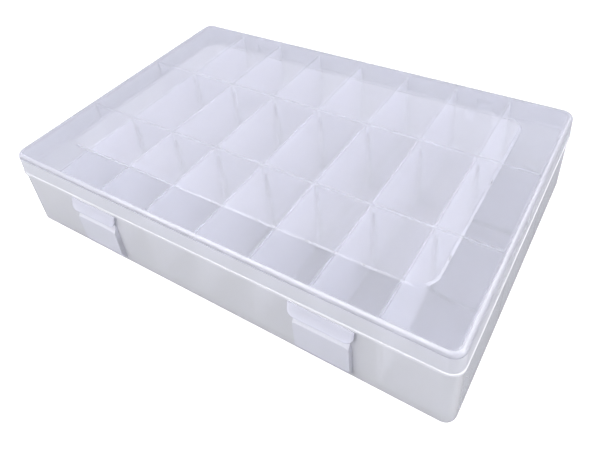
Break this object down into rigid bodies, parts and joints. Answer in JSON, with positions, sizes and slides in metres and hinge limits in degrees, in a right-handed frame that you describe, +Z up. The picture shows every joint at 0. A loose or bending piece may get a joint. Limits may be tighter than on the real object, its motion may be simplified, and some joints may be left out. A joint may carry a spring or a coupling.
{
  "type": "parts sorting tray",
  "caption": "Flat translucent plastic parts sorting tray with a grid of compartments, slot-in dividers and a hinged lid that shuts with latch tabs at the front.",
  "frame": {"origin": "middle of the base's underside, on the surface that the tray stands on", "axes": "+X along the long side, to the right seen from the latch side; +Y towards the hinges; +Z up"},
  "size_m": [0.195, 0.1371, 0.0375],
  "materials": {
    "clear_plastic": "milky clear polypropylene, glossy, lightly hazed",
    "divider_plastic": "milky clear polypropylene with a finely frosted face"
  },
  "bodies": {
    "base": {"base_tray": "clear_plastic", "divider_front_1": "divider_plastic", "divider_front_2": "divider_plastic", "divider_front_3": "divider_plastic", "divider_front_4": "divider_plastic", "divider_front_5": "divider_plastic", "divider_front_6": "divider_plastic", "divider_front_7": "divider_plastic", "divider_middle_1": "divider_plastic", "divider_middle_2": "divider_plastic", "divider_middle_3": "divider_plastic", "divider_middle_4": "divider_plastic", "divider_middle_5": "divider_plastic", "divider_middle_6": "divider_plastic", "divider_middle_7": "divider_plastic", "divider_rear_1": "divider_plastic", "divider_rear_2": "divider_plastic", "divider_rear_3": "divider_plastic", "divider_rear_4": "divider_plastic", "divider_rear_5": "divider_plastic", "divider_rear_6": "divider_plastic", "divider_rear_7": "divider_plastic"},
    "lid": {"lid": "clear_plastic"},
    "latch_left": {"latch_left": "clear_plastic"},
    "latch_right": {"latch_right": "clear_plastic"}
  },
  "joints": [
    {"name": "lid_hinge", "type": "hinge", "parent": "base", "child": "lid", "pos_m": [0, 0.0676, 0.0268], "axis": [-1, 0, 0], "range_deg": [0, 180]},
    {"name": "latch_left_flex", "type": "hinge", "parent": "lid", "child": "latch_left", "pos_m": [-0.052, -0.0648, 0.0268], "axis": [-1, 0, 0], "range_deg": [0, 30], "stiffness_Nm_per_rad": 0.02},
    {"name": "latch_right_flex", "type": "hinge", "parent": "lid", "child": "latch_right", "pos_m": [0.052, -0.0648, 0.0268], "axis": [-1, 0, 0], "range_deg": [0, 30], "stiffness_Nm_per_rad": 0.02}
  ]
}
